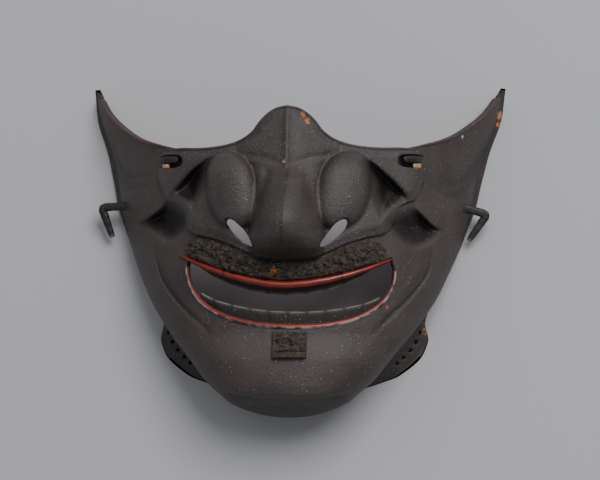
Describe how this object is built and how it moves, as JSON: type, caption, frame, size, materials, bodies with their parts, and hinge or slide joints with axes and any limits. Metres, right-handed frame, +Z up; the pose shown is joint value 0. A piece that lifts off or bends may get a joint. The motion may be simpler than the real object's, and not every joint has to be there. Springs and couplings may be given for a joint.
{
  "type": "samurai_face_guard",
  "caption": "Half mask of lacquered rawhide with a hooked nose plate, red-lipped open mouth, teeth, a hem at the throat and iron cord hooks on the cheeks",
  "frame": {"origin": "centre of the bounding box's underside; z = 0 is the surface that the mask lies on, face up", "axes": "X across the face, from the mask's own right cheek (-X) to its left cheek (+X) as a viewer sees left and right; Y from the chin (-Y) to the nose bridge (+Y); Z up, out of the face"},
  "size_m": [0.1976, 0.169, 0.0913],
  "materials": {
    "russet_lacquer": "worn satin lacquer over rawhide",
    "red_lacquer": "glossy lacquer built up on the rawhide",
    "tooth_lacquer": "dull darkened lacquer",
    "hair_residue": "rough crust of glue and cut hair",
    "black_iron": "blackened forged iron, worn at the edges",
    "pale_wood": "raw pale wood"
  },
  "bodies": {
    "root": {"face_shell": "russet_lacquer", "nose_plate": "russet_lacquer", "upper_lip": "red_lacquer", "lower_lip": "red_lacquer", "upper_teeth": "tooth_lacquer", "lower_teeth": "tooth_lacquer", "moustache_bed": "hair_residue", "chin_tuft_bed": "hair_residue", "left_hook": "black_iron", "right_hook": "black_iron", "left_lug": "black_iron", "right_lug": "black_iron", "left_wedge": "pale_wood", "right_wedge": "pale_wood"}
  },
  "joints": []
}
